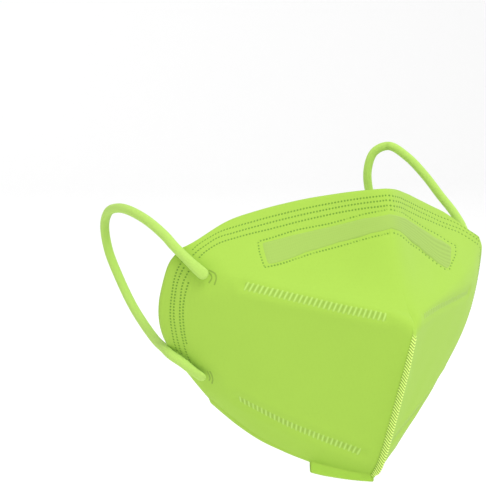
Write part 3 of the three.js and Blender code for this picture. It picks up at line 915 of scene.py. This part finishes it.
class RESPIRATOR_OT_mask_shell(bpy.types.Operator):
    """The two fabric panels with their soft centre fold, welded chin seam, tab, rim and inside face"""

    bl_idname = "respirator.mask_shell"
    bl_label = "Mask Shell"

    def execute(self, context):
        sizes = context.scene.respirator_sizes
        wall, rim = sizes.panel_wall / MM, sizes.rim_wall / MM
        # Runs of columns across a panel and of rows down it: first and last share, and their number.
        across = ((FIN_ROOT, 0.05, 8), (0.06, TAB_TO - TAB_END, 34), (TAB_TO, 0.96, 46), (0.97, 1.0, 6))
        down = ((0, 0.03, 6), (0.038, 0.965, 138), (0.972, 1, 5))
        half, v = (np.concatenate([np.linspace(*run) for run in runs]) for runs in (across, down))
        fin = np.linspace(-1, 1, 13)
        s = np.concatenate([-half[::-1], fin * FIN_ROOT * FIN_INSET, half])
        hem = np.linspace(0, 1, 7)[1:]
        rows = np.concatenate([v, np.ones(len(hem))])
        hem_share = np.concatenate([np.zeros(len(v)), hem])

        grid_s, grid_v = np.meshgrid(s, rows)
        base = panel_face(grid_s, grid_v)
        outer, normal = on_fabric(grid_s, grid_v)
        seam = slice(len(half), len(half) + len(fin))
        outer[:, seam] = seam_face(fin[None], rows[:, None], sizes.seam_depth / MM)
        hem_move = self.hem(s, hem_share, sizes.tab_depth / MM)
        outer = outer + hem_move
        inboard = np.minimum(np.minimum(1 - np.abs(grid_s), grid_v), 1 - grid_v) / EDGE_BAND
        thick = rim + (wall - rim) * clamp01(inboard)
        inner = base + hem_move
        inner[..., 1] += thick / np.abs(normal[..., 1])
        self.build(outer, inner)
        return {"FINISHED"}

    def hem(self, s, share, depth):
        """How far the rows past the bottom edge are moved: straight down for the plain lip, and for the
        tab along a curve whose slope turns outwards to the flare angle, with its free edge spread towards
        the side. At the chin the tab's depth grows as a quarter circle, which rounds its corner."""
        across = clamp01(-s / TAB_TO)
        corner = np.sqrt(1 - (1 - clamp01((-TAB_FROM - s) / TAB_ROUND)) ** 2)
        tab = np.minimum(corner, clamp01((TAB_TO + s) / TAB_END))
        lip = LIP_LEAST + (LIP - LIP_LEAST) * clamp01((1 - np.abs(s)) / LIP_END)
        reach = lip + (TAB_CHIN + (depth - TAB_CHIN) * across - lip) * tab
        distance = share[:, None] * reach[None, :]
        angle = np.radians(TAB_FLARE) * tab[None, :] * (0.75 + 0.25 * share[:, None])
        spread = share[:, None] * (TAB_SPREAD * tab * across)[None, :]
        return np.stack([-spread, -distance * np.sin(angle), -distance * np.cos(angle)], axis=-1)

    def build(self, outer, inner):
        """Closes the wall: the outer rows, a rounded bottom edge, the inner rows upwards and a rounded
        top edge form one band, and a rounded ladder of faces closes each side."""
        rows, columns = outer.shape[:2]

        def rounded(a, b, inboard):
            middle = (a + b) / 2
            width = np.linalg.norm(a - b, axis=-1, keepdims=True)
            return middle + unit(middle - inboard) * width * EDGE_ROUND

        top = rounded(outer[0], inner[0], (outer[2] + inner[2]) / 2)
        bottom = rounded(outer[-1], inner[-1], (outer[-3] + inner[-3]) / 2)
        band = np.concatenate([top[None], outer, bottom[None], inner[::-1]])
        count = len(band)
        last, first_row = (count - 1) * columns + np.arange(columns - 1), np.arange(columns - 1)
        closing = np.stack([last, first_row, first_row + 1, last + 1], axis=-1)
        faces = np.vstack([grid_faces(count, columns), closing])
        points = band.reshape(-1, 3)
        triangles = []
        i = np.arange(rows - 1)
        for side, toward, flip in ((0, 2, True), (columns - 1, columns - 3, False)):
            middle = rounded(outer[:, side], inner[:, side], (outer[:, toward] + inner[:, toward]) / 2)
            first = len(points)
            points = np.vstack([points, middle])
            out_row, in_row = (1 + i) * columns + side, (count - 1 - i) * columns + side
            near = np.stack([out_row, out_row + columns, first + i + 1, first + i], axis=-1)
            far = np.stack([first + i, first + i + 1, in_row - columns, in_row], axis=-1)
            ladder = np.vstack([near, far])
            faces = np.vstack([faces, ladder[:, ::-1] if flip else ladder])
            ends = np.array(
                [
                    [side, columns + side, first],
                    [side, first, (count - 1) * columns + side],
                    [(rows + 1) * columns + side, first + rows - 1, rows * columns + side],
                    [(rows + 1) * columns + side, (rows + 2) * columns + side, first + rows - 1],
                ]
            )
            triangles.append(ends[:, ::-1] if flip else ends)
        material = fabric("nonwoven_panel")
        caps = np.vstack(triangles)
        piece = new_piece("mask_fabric", points, faces, material, triangles=caps)
        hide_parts("mask_shell")


class RESPIRATOR_OT_nose_strip(bpy.types.Operator):
    """The covered nose strip: a thin crowned band that follows the face inside its pocket"""

    bl_idname = "respirator.nose_strip"
    bl_label = "Nose Strip"

    def execute(self, context):
        """Outer and inner face are the panel face moved along its normal. Outwards the move is a crown,
        proud in the middle and sunk at the edges: -0.25 + 0.5 (1 - a^60)(1 - b^12), where a and b run from
        -1 to 1 along and across the band; inwards it is a constant."""
        along = np.linspace(-1, 1, 161)
        across = np.linspace(-1, 1, 21)
        share = (across[:, None] + 1) / 2
        halves = []
        for side, sign in (("left", -1), ("right", 1)):
            (high, low), top, bottom = STRIPS[side]
            half = along[along * sign > 0] if sign < 0 else along[along >= 0]
            part = np.abs(half)[None, :] * (high + (low - high) * share)
            edge = np.interp(part, *np.transpose(top))
            halves.append((sign * part, edge + (np.interp(part, *np.transpose(bottom)) - edge) * share))
        grid_s, v = (np.hstack(pair) for pair in zip(*halves))
        base = panel_face(grid_s, v)
        normal = panel_frame(grid_s, v)[2]
        crown = -0.25 + 0.5 * (1 - along[None, :] ** 60) * (1 - np.abs(across[:, None]) ** 12)
        outer = base + normal * crown[..., None]
        inner = base - normal * 0.7
        rows, columns = outer.shape[:2]
        points, faces = slab(outer, inner)
        length = np.linalg.norm(np.diff(base[rows // 2], axis=0), axis=-1).sum()
        width = np.linalg.norm(base[-1, columns // 2] - base[0, columns // 2])
        uv = np.stack([np.tile(along * length / 2, rows), np.repeat(across * width / 2, columns)], axis=-1)
        uv = np.vstack([uv, uv])
        piece = new_piece("nose_strip_cover", points, faces, fabric("strip_mesh"), uv)
        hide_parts("nose_strip")
        return {"FINISHED"}


class RESPIRATOR_OT_weld_bars(bpy.types.Operator):
    """Stripes of short pressed bars along the two folds of each panel"""

    bl_idname = "respirator.weld_bars"
    bl_label = "Weld Bars"

    def execute(self, context):
        sizes = context.scene.respirator_sizes
        pitch, width = sizes.bar_pitch / MM, sizes.bar_length / MM
        # The left stripes carry painted highlights on the crests and painted shade in the grooves; the right
        # stripes are painted darker, as the shade of a crease.
        stripes = (("left", -1, 1.0, "pressed_bar"), ("right", 1, 0.75, "pressed_crease"))
        for side, sign, share, kind in stripes:
            ribbons = (self.ribbon(row, sign, pitch, width * share) for row in STRIPES[side])
            points, faces, uv = joined(list(ribbons))
            new_piece("weld_bars_" + side, points, faces, fabric(kind), uv)
        return {"FINISHED"}

    def ribbon(self, stripe, side, pitch, width):
        """One stripe as a corrugated ribbon. Along it the phase is the length travelled over the pitch,
        less tan(lean) times the place across over the pitch; the height is 0.24 times the fourth power of
        sin(pi phase), faded across by (1 - b^4), and the edges and ends dip under the fabric."""
        lean, steps_per_bar = math.radians(17), 12
        dense = spline(stripe, 300)
        travelled = lengths(panel_face(side * dense[:, 0], dense[:, 1]))
        bars = round(travelled[-1] / pitch)
        place = np.linspace(0, travelled[-1], bars * steps_per_bar + 1)
        s = side * np.interp(place, travelled, dense[:, 0])
        v = np.interp(place, travelled, dense[:, 1])
        speed = np.linalg.norm(panel_face(s, v + STEP) - panel_face(s, v - STEP), axis=-1) / (2 * STEP)
        b = np.linspace(-1, 1, 13)[:, None]
        grid_v = v + b * width / 2 / speed
        grid_s = np.tile(s, (len(b), 1))
        phase = place / travelled[-1] * bars - math.tan(lean) * b * width / 2 / pitch
        fade = (1 - b**4) * smooth(np.minimum(place, travelled[-1] - place) / 0.6)
        height = 0.24 * np.sin(np.pi * phase) ** 4 * fade - 0.10 * (1 - fade) + 0.02
        base, normal = on_fabric(grid_s, grid_v)
        points, faces = slab(base + normal * height[..., None], base - SUNK * normal, flip=side < 0)
        uv = np.stack([phase, np.broadcast_to(b, phase.shape)], axis=-1).reshape(-1, 2)
        return points, faces, np.vstack([uv, uv])


class RESPIRATOR_OT_weld_dots(bpy.types.Operator):
    """Rows of weld dots along the top edge, down the sides and round the nose strip pocket"""

    bl_idname = "respirator.weld_dots"
    bl_label = "Weld Dots"

    def execute(self, context):
        sizes = context.scene.respirator_sizes
        pitch, radius = sizes.dot_pitch / MM, sizes.dot_size / MM / 2
        lines = [evenly(spline(table, 200), pitch, 0.5 * (k % 2)) for k, table in enumerate(SIDE_LINES)]
        for side, sign, gap, stretch in (("left", -1, pitch, 1.0), ("right", 1, 2 * pitch, 1.6)):
            edge = [evenly(spline(table, 400), gap) for table in EDGE_ROWS[side]]
            seats = [evenly(spline(table, 200), gap) for table in POCKETS[side]]
            self.dots("edge_weld_dots_" + side, np.vstack(edge) * [sign, 1], radius, stretch)
            self.dots("side_weld_dots_" + side, np.vstack(lines) * [sign, 1], radius, 1.0)
            self.dots("pocket_weld_dots_" + side, np.vstack(seats) * [sign, 1], radius, stretch)
        return {"FINISHED"}

    def dots(self, name, places, radius, stretch):
        """Each dot is a small dish on the fabric: rings of eight points at growing radius, the middle
        low, a slightly raised lip, and the outermost ring just under the fabric, closed below. The rings
        are drawn out by `stretch` along the section."""
        along, down, normal = panel_frame(*places.T)
        sides = 8
        turn = np.linspace(0, 2 * math.pi, sides, endpoint=False)
        circle = np.stack([stretch * np.cos(turn), np.sin(turn)], axis=-1)
        rings = ((0.04, 0.05), (0.6, 0.06), (1.0, 0.10), (1.25, -0.06))  # share of the radius, height
        shape = np.vstack([np.insert(circle * radius * r, 2, z, axis=1) for r, z in rings])
        faces = ring_faces(len(rings), sides, flip=True)
        cap = np.array([[0, 1, 2, 3], [0, 3, 4, 7], [4, 5, 6, 7]])
        under = cap[:, ::-1] + sides * (len(rings) - 1)
        faces = np.vstack([faces, cap, under])
        points, index = stamped(on_fabric(*places.T)[0], along, -down, normal, shape, faces)
        # The dots' dark colour is partly the pressed film of the weld and partly painted shade standing for
        # a sunken pit.
        new_piece(name, points, index, fabric("pressed_dot"))


class RESPIRATOR_OT_seam_welds(bpy.types.Operator):
    """Slanted ribs pressed across the chin seam and the arcs pressed beside the left loop's ends"""

    bl_idname = "respirator.seam_welds"
    bl_label = "Seam Welds"

    def execute(self, context):
        sizes = context.scene.respirator_sizes
        points, faces, uv = self.ribs(sizes.seam_depth / MM, sizes.rib_pitch / MM)
        # The seam ribs get bright painted highlights on their crests and painted shade in their grooves.
        new_piece("seam_ribs", points, faces, fabric("pressed_seam"), uv)
        points, faces, uv = joined([self.arc(table) for table in WELD_ARCS])
        new_piece("loop_weld_arcs", points, faces, fabric("pressed_line"), uv)
        return {"FINISHED"}

    def ribs(self, depth, pitch):
        """A ribbed cover on the seam. The phase is the length travelled down the crest, less 0.3 times the
        length across from the left root, over the pitch; the cover stands 0.05 off the seam's face along
        its normal, plus 0.25 times the fourth power of sin(pi phase) once the ribs have set in."""
        steps_per_rib, lean = 9, 0.3
        dense = np.linspace(0.425, 1, 400)
        crest = seam_face(0.0, dense, depth)
        travelled = lengths(crest)
        place = np.linspace(0, travelled[-1], int(travelled[-1] / pitch * steps_per_rib))[:, None]
        v = np.interp(place, travelled, dense)
        face = seam_face(np.linspace(-0.97, 0.97, 23)[None, :], v, depth)
        across = np.cumsum(np.linalg.norm(np.diff(face, axis=1, prepend=face[:, :1]), axis=-1), axis=1)
        phase = (place - lean * across) / pitch
        normal = unit(np.cross(np.gradient(face, axis=0), np.gradient(face, axis=1)))
        grown = smooth((place - 3) / 4)
        lift = 0.05 + 0.25 * np.sin(np.pi * phase) ** 4 * grown - 0.12 * (1 - smooth(place / 1.5))
        points, faces = slab(face + normal * lift[..., None], face - 0.15 * normal)
        uv = np.stack([phase, np.broadcast_to(1 - grown, phase.shape)], axis=-1).reshape(-1, 2)
        return points, faces, np.vstack([uv, uv])

    def arc(self, table):
        """A thin pressed arc on the left panel along a path of s and v: point = path + 0.4 b across +
        lift outwards, where b runs from -1 to 1 and the lift is a shallow dish with both edges under the
        fabric."""
        path = spline(table, 40) * [-1, 1]
        line = panel_face(*path.T)
        base, normal = on_fabric(*path.T)
        across = unit(np.cross(unit(np.gradient(line, axis=0)), normal))
        b = np.linspace(-1, 1, 7)[:, None, None]
        face = base + 0.4 * b * across
        lift = 0.05 + 0.05 * np.abs(b) - 0.2 * b**6
        points, faces = slab(face + normal * lift, face - SUNK * normal)
        return points, faces, np.zeros((len(points), 2))


class RESPIRATOR_PT_panel(bpy.types.Panel):
    """Sizes, colours and the operators that make the mask"""

    bl_label = "Respirator"
    bl_idname = "RESPIRATOR_PT_panel"
    bl_space_type = "VIEW_3D"
    bl_region_type = "UI"
    bl_category = "Respirator"

    def draw(self, context):
        for group in (context.scene.respirator_sizes, context.scene.respirator_colours):
            for name in group.__annotations__:
                self.layout.prop(group, name)
        for operator in MAKERS:
            self.layout.operator(operator.bl_idname)


MAKERS = (
    RESPIRATOR_OT_stage,
    RESPIRATOR_OT_ear_loops,
    RESPIRATOR_OT_mask_shell,
    RESPIRATOR_OT_nose_strip,
    RESPIRATOR_OT_weld_bars,
    RESPIRATOR_OT_weld_dots,
    RESPIRATOR_OT_seam_welds,
)
CLASSES = (RespiratorSizes, RespiratorColours, *MAKERS, RESPIRATOR_PT_panel)


def register():
    """Adds the classes and the scene's settings."""
    for made in CLASSES:
        bpy.utils.register_class(made)
    bpy.types.Scene.respirator_sizes = bpy.props.PointerProperty(type=RespiratorSizes)
    bpy.types.Scene.respirator_colours = bpy.props.PointerProperty(type=RespiratorColours)


def unregister():
    """Takes the settings and the classes away again."""
    del bpy.types.Scene.respirator_colours
    del bpy.types.Scene.respirator_sizes
    for made in reversed(CLASSES):
        bpy.utils.unregister_class(made)


def main():
    """Registers the add-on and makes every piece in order."""
    register()
    for operator in MAKERS:
        group, name = operator.bl_idname.split(".")
        getattr(getattr(bpy.ops, group), name)()


if __name__ == "__main__":
    main()
